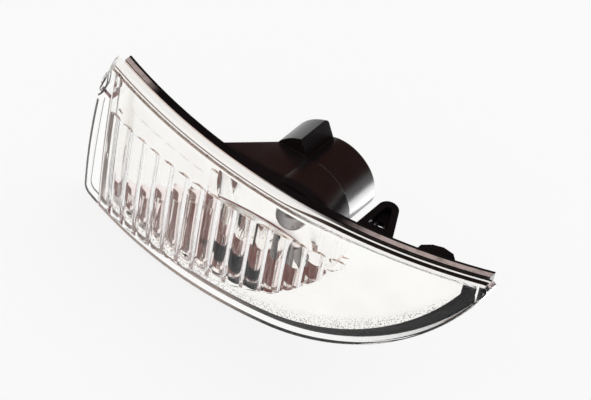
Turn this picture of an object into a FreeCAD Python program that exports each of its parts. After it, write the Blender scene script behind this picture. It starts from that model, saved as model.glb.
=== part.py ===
import FreeCAD, Part
import math
import os

# Indicator lamp for a door mirror: clear fluted lens, bright reflector,
# black back housing with a bulb neck, and the bulb with its holder.
# Millimetres. Origin on the bulb axis where the neck leaves the housing.
# +X runs along the lamp to its pointed tip, the lens faces -Y, the neck +Y.

# Plan curve shared by lens, seal, housing and reflector
PLAN_X = -26.4
PLAN_Y = 173.5
SEAM_R = 191.6
BARREL_R = 600.0
BARREL_MID_Z = -20.0

# Lens outline seen from the front, as (x, z)
TOP_Z = 12.6
TIP_X = 65.2
TOP_LEFT_X = -73.4
BOTTOM_LEFT_X = -77.4
BOTTOM_LEFT_Z = -54.2
TIP = (TIP_X, TOP_Z)
TOP_LEFT = (TOP_LEFT_X, TOP_Z)
LEFT_MID = (-76.3, -18.0)
BOTTOM_LEFT = (BOTTOM_LEFT_X, BOTTOM_LEFT_Z)
BOTTOM_MID = (-32.0, -50.2)
BOTTOM_TURN = (5.2, -44.2)
RIGHT_MID = (40.1, -26.9)
TOP_LEFT_ROUND = 2.4
BOTTOM_LEFT_ROUND = 3.2
TIP_ROUND = 2.2

# Lens
LENS_DEPTH = 5.2
LENS_WALL = 2.2
LENS_RIM = 1.1
LENS_TOP = 2.0
LENS_EDGE_ROUND = 1.0
OVERHANG = 3.9
TIP_OVERHANG = 3.2
EAR_HEIGHT = 14.6
EAR_FACET_WIDTH = 4.2
EAR_FACET_BACK = 0.8

# Flutes on the inside of the lens
FLUTE_COUNT = 15
FLUTE_FIRST_X = -68.9
FLUTE_PITCH = 6.3
FLUTE_LAND = 0.8
FLUTE_RISE = 0.9
FLUTE_TOP_LEFT = (-74.0, -7.0)
FLUTE_TOP_MID = (-28.0, -3.8)
FLUTE_END = (25.0, 0.4)
FLUTE_LOW_LEFT = (-74.0, -53.0)
FLUTE_LOW_MID = (-24.0, -42.6)
FLUTE_LOW_TURN = (3.4, -29.0)
FLUTE_LOW_RIGHT = (16.0, -13.6)

# Seal bead between lens and housing
SEAL_THICK = 0.8
SEAL_RECESS = 0.3

# Housing
FLANGE_THICK = 2.5
FLANGE_WIDTH = 4.0
PAN_WALL = 1.5
PAN_FLOOR = 1.8
PAN_STEP = 0.5
DOME_WALL = 1.8
DOME_FRONT_Y = -18.0
DOME_BACK_CORNER = (-17.2, 9.2)
DOME_BACK_R = 12.9
DOME_BACK_LOW = -15.0
DOME_TURN = 115.0
DOME_BEND = 45.0
DOME_SIDE_SHARE = 0.6
DOME_FLOOR_SHARE = 0.5
DOME_FRONT_CORNER = (-34.2, 8.4)
DOME_FRONT_TOP = 12.5
DOME_FRONT_RIGHT = 17.2
DOME_FRONT_LOW = -23.3

# Neck for the bulb holder
NECK_R = 12.5
NECK_LENGTH = 13.0
NECK_BORE_R = 10.4
LEDGE_R = 8.8
LEDGE_Y = 2.0
NECK_EDGE_ROUND = 0.5

# Raised key beside the neck
KEY_R = 19.5
KEY_START = 118.0
KEY_SWEEP = 87.0
KEY_SHORTER = 0.7
KEY_WALL = 1.7

# Screw lug behind the top edge
LUG_LEFT = 21.0
LUG_END_Y = 5.4
LUG_TIP_R = 3.4
LUG_BASE_RIGHT = (34.5, -9.0)
LUG_TOP_Z = 12.2
LUG_THICK = 4.8
LUG_FLOOR = 2.0
LUG_WALL = 2.2
LUG_HOLE_R = 1.6
LUG_HOLE_Y = -2.6
LUG_HOLE_EDGE = 0.6
LUG_ROOT_Y = -14.0

# Locating tab behind the top edge
TAB_LEFT = (39.6, -0.6)
TAB_MID = (42.0, 2.0)
TAB_BACK = (45.0, 3.6)
TAB_END = (48.6, 3.8)
TAB_RIGHT = (50.4, 2.4)
TAB_ROOT_Y = -9.0
TAB_TOP_Z = 11.8
TAB_THICK = 4.0

# Reflector
MIRROR_THICK = 1.2
LEAF_GAP = 0.6
LEAF_INSET = 1.5
LEAF_SHIFT = (-3.0, 1.0)
TRAY_GAP = 0.2
WINDOW_RIGHT = 23.0
WINDOW_TURN = (0.0, -32.0)
WINDOW_LOW_MID = (-30.0, -42.0)
WINDOW_LOW_LEFT_Z = -45.6
WINDOW_RIGHT_MID = (15.0, -15.0)
BOWL_FOCUS = 11.0
BOWL_HOLE_R = 7.4
BOWL_HOLE_Y = -3.6
BOWL_RIM_R = 27.0
BOWL_GAP = 0.5

# Bulb
BULB_R = 5.15
BULB_LENGTH = 25.6
BULB_BASE_Y = 10.0
WEDGE_WIDTH = 9.5
WEDGE_THICK = 2.1
WEDGE_LENGTH = 7.4
NECKING_LENGTH = 2.6
LEAD_R = 0.25
LEAD_LENGTH = 5.6
LEAD_OFFSET = 1.0
LEAD_ROOT = 0.2

# Bulb holder
HOLDER_R = 10.2
HOLDER_BACK_Y = 12.0
SOCKET_FLOOR_Y = 10.6
THROAT_GAP = 0.4
SHROUD_R = 6.2
SHROUD_WALL = 1.1
SHROUD_END_Y = 16.6
SHROUD_FLOOR_Y = 12.4
O_RING_FRONT_Y = 6.6
O_RING_LENGTH = 1.6
O_RING_BED_R = 9.2

# Contact strips
STRIP_WIDTH = 3.2
STRIP_THICK = 0.6
STRIP_FRONT_Y = 3.2
STRIP_BEND_Y = 8.8
STRIP_STEP = 1.05
BLADE_END_Y = 16.0

# Room used for cutting tools, and overlap where solids are joined
FAR = 60.0
PAST = 1.0
SMALLEST_ROUND = 0.3
SAME_PLACE = 0.01
WELD = 0.3
DRUM_HEIGHT = 160.0

# Derived sizes
FRONT_R = SEAM_R + LENS_DEPTH
FLANGE_FRONT_R = SEAM_R - SEAL_THICK
FLANGE_BACK_R = FLANGE_FRONT_R - FLANGE_THICK
LEAF_SETBACK = LENS_WALL + FLUTE_RISE + LEAF_GAP
PAN_FLOOR_R = FLANGE_BACK_R + PAN_STEP
PAN_BACK_R = PAN_FLOOR_R - PAN_FLOOR
TRAY_FLOOR_R = PAN_FLOOR_R + MIRROR_THICK
HOUSING_LEFT = TOP_LEFT_X + OVERHANG
HOUSING_RIGHT = TIP_X - TIP_OVERHANG
WINDOW_TOP = TOP_Z - FLANGE_WIDTH - TRAY_GAP - MIRROR_THICK
WINDOW_LEFT = HOUSING_LEFT + FLANGE_WIDTH + TRAY_GAP + MIRROR_THICK
KEY_END_Y = NECK_LENGTH - KEY_SHORTER
LUG_LOW_Z = LUG_TOP_Z - LUG_THICK
WEDGE_FRONT_Y = BULB_BASE_Y - WEDGE_LENGTH
BULB_TIP_Y = BULB_BASE_Y - BULB_LENGTH
STRIP_INNER_Z = WEDGE_THICK / 2 + 2 * LEAD_R
STRIP_OUTER_Z = STRIP_INNER_Z + STRIP_THICK
O_RING_END_Y = O_RING_FRONT_Y + O_RING_LENGTH

V = FreeCAD.Vector
UP = V(0, 0, 1)
BACK = V(0, 1, 0)


def front_point(xz, y=0.0):
    """Point of a front view (x, z) at a depth y."""
    return V(xz[0], y, xz[1])


def line(start, end, y=0.0):
    """Straight edge of a front view."""
    return Part.makeLine(front_point(start, y), front_point(end, y))


def arc(start, middle, end, y=0.0):
    """Arc edge of a front view through three points."""
    points = [front_point(p, y) for p in (start, middle, end)]
    return Part.Arc(*points).toShape()


def prism(wire):
    """Solid of a closed front-view wire, through the whole depth."""
    face = Part.Face(wire)
    face.translate(V(0, -FAR, 0))
    return face.extrude(V(0, 2 * FAR, 0))


def offset_prism(wire, inset):
    """Prism of a front-view wire moved inward by inset, outward if negative."""
    if inset:
        wire = wire.makeOffset2D(-inset, join=2)
    return prism(wire)


def drum(radius):
    """Upright cylinder about the plan centre."""
    return Part.makeCylinder(radius, DRUM_HEIGHT, V(PLAN_X, PLAN_Y, -DRUM_HEIGHT / 2), UP)


def barrel_radius(setback, z):
    """Plan radius of the barrel surface at a height."""
    arc_r = BARREL_R - setback
    return FRONT_R - BARREL_R + math.sqrt(arc_r ** 2 - (z - BARREL_MID_Z) ** 2)


def barrel(setback):
    """Everything behind the lens face moved back by setback."""
    low = -DRUM_HEIGHT / 2
    high = DRUM_HEIGHT / 2

    def at(radius, z):
        return V(PLAN_X, PLAN_Y + radius, z)

    side = Part.Arc(
        at(barrel_radius(setback, low), low),
        at(barrel_radius(setback, BARREL_MID_Z), BARREL_MID_Z),
        at(barrel_radius(setback, high), high),
    ).toShape()
    edges = [
        side,
        Part.makeLine(at(barrel_radius(setback, high), high), at(0, high)),
        Part.makeLine(at(0, high), at(0, low)),
        Part.makeLine(at(0, low), at(barrel_radius(setback, low), low)),
    ]
    face = Part.Face(Part.Wire(edges))
    return face.revolve(V(PLAN_X, PLAN_Y, 0), UP, 360)


def along_neck(radius, start_y, end_y):
    """Cylinder on the neck axis between two depths."""
    return Part.makeCylinder(radius, end_y - start_y, V(0, start_y, 0), BACK)


def ring(outer_r, inner_r, start_y, end_y):
    """Tube on the neck axis between two depths."""
    return along_neck(outer_r, start_y, end_y).cut(along_neck(inner_r, start_y, end_y))


def block(x_size, z_size, start_y, end_y):
    """Box centred on the neck axis between two depths."""
    corner = V(-x_size / 2, start_y, -z_size / 2)
    return Part.makeBox(x_size, end_y - start_y, z_size, corner)


def right_of(x):
    """Half space to the right of x."""
    return Part.makeBox(4 * FAR, 2 * FAR, 4 * FAR, V(x, -FAR, -2 * FAR))


def below(z):
    """Half space below z."""
    return Part.makeBox(4 * FAR, 2 * FAR, 2 * FAR, V(-2 * FAR, -FAR, z - 2 * FAR))


def front_distance(first, second):
    """Distance between two points as seen from the front."""
    return math.hypot(first.x - second.x, first.z - second.z)


def round_corners(solid, corners):
    """Round the depth-wise edges nearest to each (corner, radius)."""
    for corner, radius in corners:
        if radius < SMALLEST_ROUND:
            continue
        target = front_point(corner)
        ends = [(e, [v.Point for v in e.Vertexes]) for e in solid.Edges]
        depthwise = [(e, p[0]) for e, p in ends if front_distance(p[0], p[-1]) < SAME_PLACE]
        nearest = min(depthwise, key=lambda pair: front_distance(pair[1], target))
        solid = solid.makeFillet(radius, [nearest[0]])
    return solid


def lens_outline():
    """Closed front-view wire of the lens."""
    return Part.Wire([
        line(TIP, TOP_LEFT),
        arc(TOP_LEFT, LEFT_MID, BOTTOM_LEFT),
        arc(BOTTOM_LEFT, BOTTOM_MID, BOTTOM_TURN),
        arc(BOTTOM_TURN, RIGHT_MID, TIP),
    ])


def lens_block(inset):
    """Prism of the lens outline moved inward, with its corners rounded."""
    corners = [
        (TOP_LEFT, TOP_LEFT_ROUND - inset),
        (BOTTOM_LEFT, BOTTOM_LEFT_ROUND - inset),
        (TIP, TIP_ROUND - inset),
    ]
    return round_corners(offset_prism(lens_outline(), inset), corners)


def housing_block(inset):
    """Prism of the housing outline: the lens outline short of both overhanging ends."""
    short_of_tip = lens_block(inset).cut(right_of(HOUSING_RIGHT - inset))
    return short_of_tip.common(right_of(HOUSING_LEFT + inset))


def flute_zone():
    """Prism of the fluted part of the lens."""
    return prism(Part.Wire([
        arc(FLUTE_END, FLUTE_TOP_MID, FLUTE_TOP_LEFT),
        line(FLUTE_TOP_LEFT, FLUTE_LOW_LEFT),
        arc(FLUTE_LOW_LEFT, FLUTE_LOW_MID, FLUTE_LOW_TURN),
        arc(FLUTE_LOW_TURN, FLUTE_LOW_RIGHT, FLUTE_END),
    ]))


def flute(index):
    """One upright flute on the inner face of the lens."""
    inner_r = FRONT_R - LENS_WALL
    half = (FLUTE_PITCH - FLUTE_LAND) / 2
    bed = inner_r + LENS_WALL / 2
    middle_z = BARREL_MID_Z

    def at(across, radius):
        return V(PLAN_X + across, PLAN_Y - radius, middle_z)

    crown = Part.Arc(at(-half, inner_r), at(0, inner_r - FLUTE_RISE), at(half, inner_r)).toShape()
    edges = [
        crown,
        Part.makeLine(at(half, inner_r), at(half, bed)),
        Part.makeLine(at(half, bed), at(-half, bed)),
        Part.makeLine(at(-half, bed), at(-half, inner_r)),
    ]
    section = Part.Face(Part.Wire(edges))
    hub = V(PLAN_X, PLAN_Y - FRONT_R + BARREL_R, middle_z)
    half_turn = math.degrees(FAR / BARREL_R)
    section.rotate(hub, V(1, 0, 0), -half_turn)
    bar = section.revolve(hub, V(1, 0, 0), 2 * half_turn)
    step = math.degrees(FLUTE_PITCH / inner_r)
    first = math.degrees(math.asin((FLUTE_FIRST_X - PLAN_X) / inner_r))
    bar.rotate(V(PLAN_X, PLAN_Y, 0), UP, first + (index + 0.5) * step)
    return bar


def front_y(x, z):
    """Depth of the lens face at a place of the front view."""
    return PLAN_Y - math.sqrt(barrel_radius(0.0, z) ** 2 - (x - PLAN_X) ** 2)


def ear_facet():
    """Wedge that bevels the front of the solid ear at the overhanging end."""
    left, top = TOP_LEFT
    low = top - EAR_HEIGHT
    on_top = V(left + EAR_FACET_WIDTH, front_y(left + EAR_FACET_WIDTH, top), top)
    on_side = V(LEFT_MID[0], front_y(LEFT_MID[0], low), low)
    behind = V(left + EAR_FACET_BACK, front_y(left, top) + LENS_DEPTH, top)
    outward = (on_side - on_top).cross(behind - on_top).normalize()
    if outward.y > 0:
        outward = -outward
    wedge = Part.makeBox(FAR, FAR, FAR, V(-FAR / 2, -FAR / 2, 0))
    wedge.Placement = FreeCAD.Placement(on_top, FreeCAD.Rotation(UP, outward))
    return wedge


def lens_room():
    """Room inside the lens rim, which is thicker along the top."""
    return housing_block(LENS_RIM).common(below(TOP_Z - LENS_TOP))


def make_lens():
    """Clear lens: barrel front, rim wall, flutes and an overhanging end with a solid ear."""
    body = lens_block(0).common(barrel(0)).cut(drum(SEAM_R))
    front = min(body.Faces, key=lambda f: f.CenterOfMass.y)
    body = body.makeFillet(LENS_EDGE_ROUND, front.OuterWire.Edges)
    chamber = lens_room().common(barrel(LENS_WALL))
    end_room = lens_block(LENS_RIM).cut(right_of(HOUSING_LEFT)).common(barrel(LENS_WALL))
    end_room = end_room.common(below(TOP_Z - EAR_HEIGHT))
    lens = body.cut([chamber, end_room, ear_facet()])
    zone = flute_zone().common(housing_block(LENS_RIM / 2))
    flutes = [flute(i).common(zone) for i in range(FLUTE_COUNT)]
    return lens.fuse(flutes).removeSplitter()


def make_lens_seal():
    """Flat bead of sealant between the lens rim and the housing flange."""
    bead = housing_block(SEAL_RECESS).cut(lens_room())
    return bead.common(drum(SEAM_R)).cut(drum(FLANGE_FRONT_R))


def dome_wire(depth_y, corner, top_point, side_r, right, low, inset):
    """Closed section of the dome at one depth, moved inward by inset."""
    left = corner[0] + inset
    high = corner[1] - inset
    start = (top_point[0], top_point[1] - inset)
    side_right = right - inset
    bend = math.radians(DOME_BEND)
    middle = ((side_r - inset) * math.cos(bend), (side_r - inset) * math.sin(bend))
    floor = low + inset
    lower_side = (side_right, low * DOME_SIDE_SHARE)
    lower_turn = (side_right * DOME_FLOOR_SHARE, floor)
    return Part.Wire([
        line((left, high), start, depth_y),
        arc(start, middle, (side_right, 0.0), depth_y),
        line((side_right, 0.0), lower_side, depth_y),
        line(lower_side, lower_turn, depth_y),
        line(lower_turn, (left, floor), depth_y),
        line((left, floor), (left, high), depth_y),
    ])


def dome(inset, back_y, reach_r):
    """Dome behind the pan, moved inward by inset, up to a plan radius."""
    lean = math.radians(DOME_TURN)
    back_top = (DOME_BACK_R * math.cos(lean), DOME_BACK_R * math.sin(lean))
    front_r = (DOME_FRONT_TOP + DOME_FRONT_RIGHT) / 2
    front = dome_wire(DOME_FRONT_Y, DOME_FRONT_CORNER, (back_top[0], DOME_FRONT_TOP), front_r,
                      DOME_FRONT_RIGHT, DOME_FRONT_LOW, inset)
    rear = dome_wire(0.0, DOME_BACK_CORNER, back_top, DOME_BACK_R,
                     DOME_BACK_R, DOME_BACK_LOW, inset)
    solid = Part.makeLoft([front, rear], True, True)
    room = Part.makeBox(4 * FAR, FAR, 4 * FAR, V(-2 * FAR, back_y - FAR, -2 * FAR))
    return solid.common(room).common(drum(reach_r))


def ring_sector(inner_r, outer_r, start, sweep, start_y, end_y):
    """Part of a ring about the neck; angles run from +X towards +Z."""

    def at(radius, turn):
        angle = math.radians(start + turn * sweep)
        return (radius * math.cos(angle), radius * math.sin(angle))

    edges = [
        arc(at(inner_r, 0), at(inner_r, 0.5), at(inner_r, 1)),
        line(at(inner_r, 1), at(outer_r, 1)),
        arc(at(outer_r, 1), at(outer_r, 0.5), at(outer_r, 0)),
        line(at(outer_r, 0), at(inner_r, 0)),
    ]
    face = Part.Face(Part.Wire(edges))
    face.translate(V(0, start_y, 0))
    return face.extrude(V(0, end_y - start_y, 0))


def neck_parts():
    """Solid neck with its raised key, and the pocket that hollows the key."""
    neck = along_neck(NECK_R, -DOME_WALL, NECK_LENGTH)
    rim = max(neck.Edges, key=lambda e: e.CenterOfMass.y)
    neck = neck.makeFillet(NECK_EDGE_ROUND, [rim])
    key = ring_sector(NECK_R - WELD, KEY_R, KEY_START, KEY_SWEEP, 0.0, KEY_END_Y)
    outer_face = max(key.Faces, key=lambda f: f.Area)
    edge = max(outer_face.Edges, key=lambda e: e.CenterOfMass.y)
    key = key.makeFillet(KEY_WALL, [edge])
    lead = math.degrees(KEY_WALL / KEY_R)
    pocket = ring_sector(NECK_R + KEY_WALL, KEY_R - KEY_WALL, KEY_START + lead,
                         KEY_SWEEP - 2 * lead, KEY_WALL, KEY_END_Y + PAST)
    return neck.fuse(key), pocket


def plan_solid(edges, low_z, high_z):
    """Solid of a closed plan-view outline between two heights."""
    face = Part.Face(Part.Wire(edges))
    face.translate(V(0, 0, low_z))
    return face.extrude(V(0, 0, high_z - low_z))


def lug_outline(inset):
    """Plan edges of the lug, moved inward by inset."""
    tip = V(LUG_LEFT + LUG_TIP_R, LUG_END_Y - LUG_TIP_R, 0)
    radius = LUG_TIP_R - inset
    base = V(LUG_BASE_RIGHT[0], LUG_BASE_RIGHT[1], 0)
    flank = base - tip
    reach = flank.Length
    turn = math.atan2(flank.y, flank.x) + math.acos(LUG_TIP_R / reach)
    outward = V(math.cos(turn), math.sin(turn), 0)
    right_start = tip + outward * radius
    right_end = base - outward * inset
    left_top = V(tip.x - radius, tip.y, 0)
    left_root = V(tip.x - radius, LUG_ROOT_Y, 0)
    right_root = V(right_end.x, LUG_ROOT_Y, 0)
    crown = Part.Arc(left_top, tip + V(0, radius, 0), right_start).toShape()
    return [
        Part.makeLine(left_root, left_top),
        crown,
        Part.makeLine(right_start, right_end),
        Part.makeLine(right_end, right_root),
        Part.makeLine(right_root, left_root),
    ]


def lug_parts():
    """Lug solid, its pocket and its screw hole."""
    behind_flange = drum(FLANGE_BACK_R + WELD)
    solid = plan_solid(lug_outline(0), LUG_LOW_Z, LUG_TOP_Z).common(behind_flange)
    room = drum(FLANGE_BACK_R - LUG_WALL)
    pocket = plan_solid(lug_outline(LUG_WALL), LUG_LOW_Z + LUG_FLOOR, LUG_TOP_Z + PAST).common(room)
    hole = Part.makeCylinder(LUG_HOLE_R, LUG_THICK, lug_hole_point(), UP)
    return solid, pocket, hole


def lug_hole_point():
    """Lower end of the lug's screw hole."""
    hole_x = LUG_LEFT + LUG_WALL + LUG_HOLE_EDGE + LUG_HOLE_R
    return V(hole_x, LUG_HOLE_Y, LUG_LOW_Z)


def make_tab():
    """Low locating tab behind the flange."""
    plan = [(TAB_LEFT[0], TAB_ROOT_Y), TAB_LEFT, TAB_MID, TAB_BACK, TAB_END, TAB_RIGHT,
            (TAB_RIGHT[0], TAB_ROOT_Y)]
    points = [V(x, y, 0) for x, y in plan]
    edges = [Part.makeLine(a, b) for a, b in zip(points, points[1:] + points[:1])]
    tab = plan_solid(edges, TAB_TOP_Z - TAB_THICK, TAB_TOP_Z)
    return tab.common(drum(FLANGE_BACK_R + WELD))


def make_housing():
    """Black back housing: flange, shallow pan, dome, neck with key, lug and tab."""
    flange = housing_block(0).common(drum(FLANGE_FRONT_R)).cut(drum(FLANGE_BACK_R))
    pan_inset = FLANGE_WIDTH - PAN_WALL
    pan = housing_block(pan_inset).common(drum(FLANGE_FRONT_R)).cut(drum(PAN_BACK_R))
    neck, key_pocket = neck_parts()
    lug, lug_pocket, lug_hole = lug_parts()
    solid = flange.fuse([pan, dome(0.0, 0.0, FLANGE_BACK_R + WELD), neck, lug, make_tab()])
    pan_room = housing_block(FLANGE_WIDTH).cut(drum(PAN_FLOOR_R))
    rooms = [
        pan_room,
        dome(DOME_WALL, -DOME_WALL, PAN_FLOOR_R + WELD),
        along_neck(LEDGE_R, -DOME_WALL - PAST, LEDGE_Y),
        along_neck(NECK_BORE_R, LEDGE_Y, NECK_LENGTH + PAST),
        key_pocket,
        lug_pocket,
        lug_hole,
    ]
    return solid.cut(rooms).removeSplitter()


def window_outline():
    """Closed front-view wire of the opening in the reflector."""
    top_right = (WINDOW_RIGHT, WINDOW_TOP)
    top_left = (WINDOW_LEFT, WINDOW_TOP)
    low_left = (WINDOW_LEFT, WINDOW_LOW_LEFT_Z)
    return Part.Wire([
        line(top_right, top_left),
        line(top_left, low_left),
        arc(low_left, WINDOW_LOW_MID, WINDOW_TURN),
        arc(WINDOW_TURN, WINDOW_RIGHT_MID, top_right),
    ])


def bowl_dish(shift):
    """Parabolic dish about the neck axis, moved back by shift."""
    slope = 1 / (4 * BOWL_FOCUS)
    drop = slope * (BOWL_RIM_R ** 2 - BOWL_HOLE_R ** 2)
    inner = V(BOWL_HOLE_R, BOWL_HOLE_Y + shift, 0)
    outer = V(BOWL_RIM_R, BOWL_HOLE_Y + shift - drop, 0)
    half_way = (BOWL_RIM_R - BOWL_HOLE_R) / 2
    pull = V(BOWL_HOLE_R + half_way, inner.y - 2 * slope * BOWL_HOLE_R * half_way, 0)
    curve = Part.BezierCurve()
    curve.setPoles([inner, pull, outer])
    edges = [
        Part.makeLine(V(0, inner.y, 0), inner),
        curve.toShape(),
        Part.makeLine(outer, V(0, outer.y, 0)),
        Part.makeLine(V(0, outer.y, 0), V(0, inner.y, 0)),
    ]
    return Part.Face(Part.Wire(edges)).revolve(V(0, 0, 0), BACK, 360)


def make_reflector():
    """Bright reflector: leaf behind the lens, tray behind the flutes, bulb bowl."""
    window = window_outline()
    leaf_block = housing_block(LENS_RIM + LEAF_INSET)
    moved = leaf_block.copy()
    moved.translate(V(LEAF_SHIFT[0], 0, LEAF_SHIFT[1]))
    front = barrel(LEAF_SETBACK)
    leaf = leaf_block.common(moved).common(front).cut(barrel(LEAF_SETBACK + MIRROR_THICK))
    tray = offset_prism(window, -MIRROR_THICK).common(front).cut(drum(PAN_FLOOR_R))
    outer_wall = DOME_WALL + BOWL_GAP
    bowl = bowl_dish(MIRROR_THICK).common(dome(outer_wall, 0.0, TRAY_FLOOR_R))
    bowl = bowl.common(below(WINDOW_TOP + MIRROR_THICK))
    bowl_room = bowl_dish(0.0).common(dome(outer_wall + MIRROR_THICK, 0.0, TRAY_FLOOR_R + WELD))
    bowl_room = bowl_room.common(below(WINDOW_TOP))
    rooms = [
        prism(window).cut(drum(TRAY_FLOOR_R)),
        bowl_room,
        along_neck(BOWL_HOLE_R, BOWL_HOLE_Y - PAST, 0.0),
    ]
    solid = leaf.fuse([tray, bowl])
    return solid.cut(rooms).removeSplitter()


def make_bulb():
    """Coated wedge-base bulb as one sealed glass solid."""
    neck_y = WEDGE_FRONT_Y - NECKING_LENGTH
    ball_y = BULB_TIP_Y + BULB_R
    ball = Part.makeSphere(BULB_R, V(0, ball_y, 0))
    tube = along_neck(BULB_R, ball_y, neck_y)
    throat = Part.Wire([Part.makeCircle(BULB_R, V(0, neck_y, 0), BACK)])
    half_x = WEDGE_WIDTH / 2
    half_z = WEDGE_THICK / 2
    corners = [(half_x, 0.0), (half_x, half_z), (-half_x, half_z), (-half_x, -half_z), (half_x, -half_z)]
    points = [V(x, WEDGE_FRONT_Y, z) for x, z in corners]
    pinch = Part.makePolygon(points + points[:1])
    shoulder = Part.makeLoft([throat, pinch], True, True)
    wedge = block(WEDGE_WIDTH, WEDGE_THICK, WEDGE_FRONT_Y, BULB_BASE_Y)
    return ball.fuse([tube, shoulder, wedge]).removeSplitter()


def make_lead(side):
    """Bulb lead folded from the end of the wedge along one face."""
    face_z = WEDGE_THICK / 2 + LEAD_R
    turn_y = BULB_BASE_Y + LEAD_R
    start = V(0, turn_y, -side * LEAD_ROOT)
    corner = V(0, turn_y, side * face_z)
    foot = Part.makeCylinder(LEAD_R, face_z + LEAD_ROOT, start, V(0, 0, side))
    elbow = Part.makeSphere(LEAD_R, corner)
    run = Part.makeCylinder(LEAD_R, LEAD_LENGTH, corner, V(0, -1, 0))
    lead = foot.fuse([elbow, run]).removeSplitter()
    lead.translate(V(side * LEAD_OFFSET, 0, 0))
    return lead


def strip_profile(side):
    """Side view of a contact strip as (y, z) corners."""
    inner = STRIP_INNER_Z
    outer = STRIP_OUTER_Z
    bend_end = STRIP_BEND_Y + STRIP_STEP
    corners = [
        (STRIP_FRONT_Y, inner),
        (STRIP_BEND_Y, inner),
        (bend_end, inner + STRIP_STEP),
        (BLADE_END_Y, inner + STRIP_STEP),
        (BLADE_END_Y, outer + STRIP_STEP),
        (bend_end, outer + STRIP_STEP),
        (STRIP_BEND_Y, outer),
        (STRIP_FRONT_Y, outer),
    ]
    return [V(-STRIP_WIDTH / 2, y, side * z) for y, z in corners]


def make_contact(side):
    """Contact strip: spring beside the wedge and blade for the plug."""
    points = strip_profile(side)
    face = Part.Face(Part.makePolygon(points + points[:1]))
    return face.extrude(V(STRIP_WIDTH, 0, 0))


def make_holder():
    """Bulb holder: round plug with a wedge socket and a plug shroud."""
    body = along_neck(HOLDER_R, LEDGE_Y, HOLDER_BACK_Y)
    shroud = along_neck(SHROUD_R, HOLDER_BACK_Y, SHROUD_END_Y)
    seal_bed = ring(HOLDER_R + PAST, O_RING_BED_R, O_RING_FRONT_Y, O_RING_END_Y)
    socket = block(WEDGE_WIDTH, 2 * STRIP_OUTER_Z, LEDGE_Y, SOCKET_FLOOR_Y)
    bend_room = block(STRIP_WIDTH, 2 * (STRIP_OUTER_Z + STRIP_STEP), STRIP_BEND_Y, SOCKET_FLOOR_Y)
    throat = along_neck(BULB_R + THROAT_GAP, LEDGE_Y - PAST, WEDGE_FRONT_Y + THROAT_GAP)
    plug_room = along_neck(SHROUD_R - SHROUD_WALL, SHROUD_FLOOR_Y, SHROUD_END_Y)
    holder = body.fuse(shroud).cut([seal_bed, socket, bend_room, throat, plug_room])
    return holder.cut([make_contact(1), make_contact(-1)])


def make_holder_seal():
    """Sealing ring of the holder, as squeezed in the neck bore."""
    return ring(NECK_BORE_R, O_RING_BED_R, O_RING_FRONT_Y, O_RING_END_Y)


def main():
    """Build every node and write it as a STEP file."""
    nodes = {
        "lens": make_lens(),
        "lens_seal": make_lens_seal(),
        "reflector": make_reflector(),
        "housing": make_housing(),
        "bulb": make_bulb(),
        "bulb_lead_upper": make_lead(1),
        "bulb_lead_lower": make_lead(-1),
        "bulb_holder": make_holder(),
        "contact_upper": make_contact(1),
        "contact_lower": make_contact(-1),
        "holder_seal": make_holder_seal(),
    }
    os.makedirs("parts", exist_ok=True)
    for name, shape in nodes.items():
        box = shape.BoundBox
        print(name, "solids", len(shape.Solids), "valid", shape.isValid(),
              "volume", round(shape.Volume, 1),
              "box", [round(v, 1) for v in (box.XMin, box.XMax, box.YMin, box.YMax, box.ZMin, box.ZMax)])
        shape.exportStep("parts/" + name + ".step")


main()
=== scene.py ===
import logging
import math
from dataclasses import dataclass
from enum import Enum
from functools import cached_property, reduce

import bmesh
import bpy
from mathutils import Matrix, Vector


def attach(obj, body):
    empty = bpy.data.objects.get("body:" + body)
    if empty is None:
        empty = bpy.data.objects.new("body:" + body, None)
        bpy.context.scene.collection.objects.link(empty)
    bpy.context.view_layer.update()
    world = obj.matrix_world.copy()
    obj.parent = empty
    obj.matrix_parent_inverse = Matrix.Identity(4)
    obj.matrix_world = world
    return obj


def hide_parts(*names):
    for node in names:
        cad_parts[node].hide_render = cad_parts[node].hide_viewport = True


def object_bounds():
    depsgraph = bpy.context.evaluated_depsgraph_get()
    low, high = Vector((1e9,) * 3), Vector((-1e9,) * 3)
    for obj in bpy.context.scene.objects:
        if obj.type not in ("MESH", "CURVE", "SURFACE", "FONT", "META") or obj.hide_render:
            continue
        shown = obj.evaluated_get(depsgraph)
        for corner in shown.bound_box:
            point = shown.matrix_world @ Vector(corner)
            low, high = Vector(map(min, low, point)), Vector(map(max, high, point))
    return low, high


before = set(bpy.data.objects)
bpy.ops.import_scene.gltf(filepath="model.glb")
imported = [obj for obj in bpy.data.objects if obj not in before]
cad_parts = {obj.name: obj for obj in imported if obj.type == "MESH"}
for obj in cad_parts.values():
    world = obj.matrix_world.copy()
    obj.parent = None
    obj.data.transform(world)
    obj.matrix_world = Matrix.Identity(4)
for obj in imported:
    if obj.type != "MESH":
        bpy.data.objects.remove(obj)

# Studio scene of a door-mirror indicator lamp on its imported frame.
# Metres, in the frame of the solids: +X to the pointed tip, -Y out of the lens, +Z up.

CAD_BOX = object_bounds()
LOG = logging.getLogger("indicator_lamp")
MM = 0.001
PLAN_X = -26.4 * MM
PLAN_Y = 173.5 * MM
TOP_Z = 12.6 * MM
MERGE_DISTANCE = 0.001 * MM
SHARP_ANGLE = math.radians(30.0)
Colour = tuple[float, float, float]
Place = tuple[float, float, float]
Pair = tuple[float, float]
Socket = bpy.types.NodeSocket
Node = bpy.types.Node


class Body(Enum):
    """Bodies of the frame that pieces ride on."""

    ROOT = "root"


class Slot(Enum):
    """Material slots of the record."""

    CLEAR_LENS = "clear_lens"
    SEALANT = "sealant"
    BRIGHT_COATING = "bright_coating"
    BLACK_PLASTIC = "black_plastic"
    SILVERED_GLASS = "silvered_glass"
    LEAD_WIRE = "lead_wire"
    HOLDER_PLASTIC = "holder_plastic"
    CONTACT_BRASS = "contact_brass"
    SEAL_RUBBER = "seal_rubber"


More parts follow.
